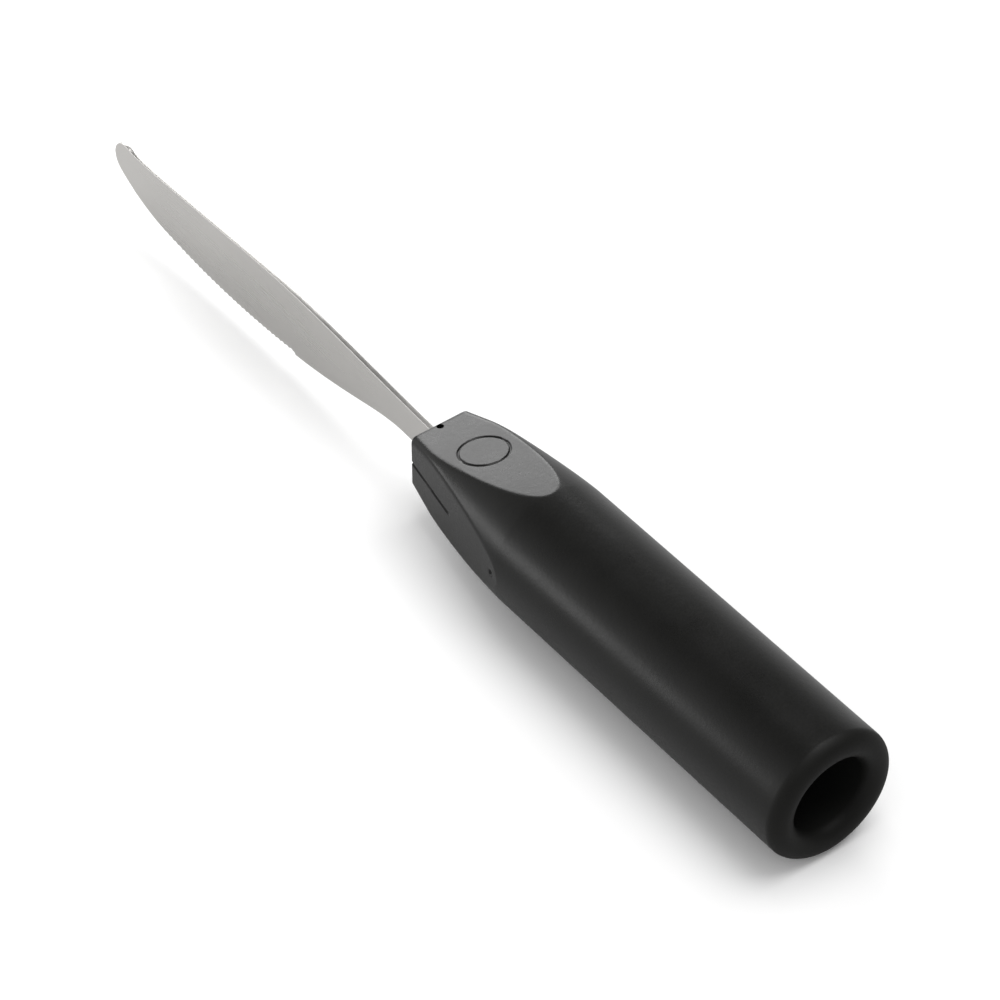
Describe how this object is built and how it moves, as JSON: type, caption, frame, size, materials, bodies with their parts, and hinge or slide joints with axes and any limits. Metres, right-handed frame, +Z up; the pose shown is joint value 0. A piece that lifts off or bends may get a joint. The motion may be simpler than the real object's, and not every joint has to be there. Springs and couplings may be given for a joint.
{
  "type": "easy-grip table knife",
  "caption": "Table knife with a serrated steel blade moulded into a thick, round, hollow plastic handle with a flat-sided nose.",
  "frame": {"origin": "on the table, midway between the blade's tip and the handle's open end", "axes": "+X along the handle towards its open end, +Z up, the cutting edge faces down"},
  "size_m": [0.228, 0.028, 0.028],
  "materials": {
    "handle_plastic": "fine matte texture from the mould",
    "blade_steel": "satin"
  },
  "bodies": {
    "root": {"handle": "handle_plastic", "blade": "blade_steel"}
  },
  "joints": []
}
